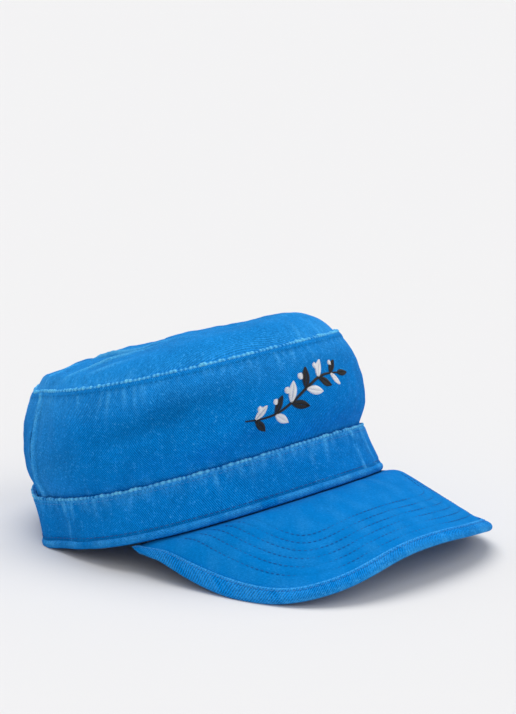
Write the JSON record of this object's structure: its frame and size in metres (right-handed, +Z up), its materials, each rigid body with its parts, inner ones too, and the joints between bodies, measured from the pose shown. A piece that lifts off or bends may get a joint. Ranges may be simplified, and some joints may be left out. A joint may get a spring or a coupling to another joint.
{
  "type": "sun cap",
  "caption": "Soft round flat-topped cloth field cap with a headband, a rolled lower edge and a stitched, bound peak, standing on its peak and the back of its band.",
  "frame": {"origin": "under the middle of the cap's box, on the surface that it rests on", "axes": "+Z up, -Y the way the peak points, +X the wearer's left"},
  "size_m": [0.1936, 0.2656, 0.1232],
  "materials": {
    "crown_twill": "washed cotton twill, matt, pale where the seams wear",
    "band_twill": "washed cotton twill, matt, doubled",
    "edge_twill": "washed cotton twill, matt, rolled edge worn pale",
    "peak_cloth": "smooth washed cotton over a board, rows of stitching",
    "binding_twill": "bias-cut washed cotton twill strip, worn pale at the fold"
  },
  "bodies": {
    "root": {"crown_top": "crown_twill", "wall_front": "crown_twill", "wall_back": "crown_twill", "band": "band_twill", "band_edge": "edge_twill", "peak": "peak_cloth", "peak_binding": "binding_twill"}
  },
  "joints": []
}
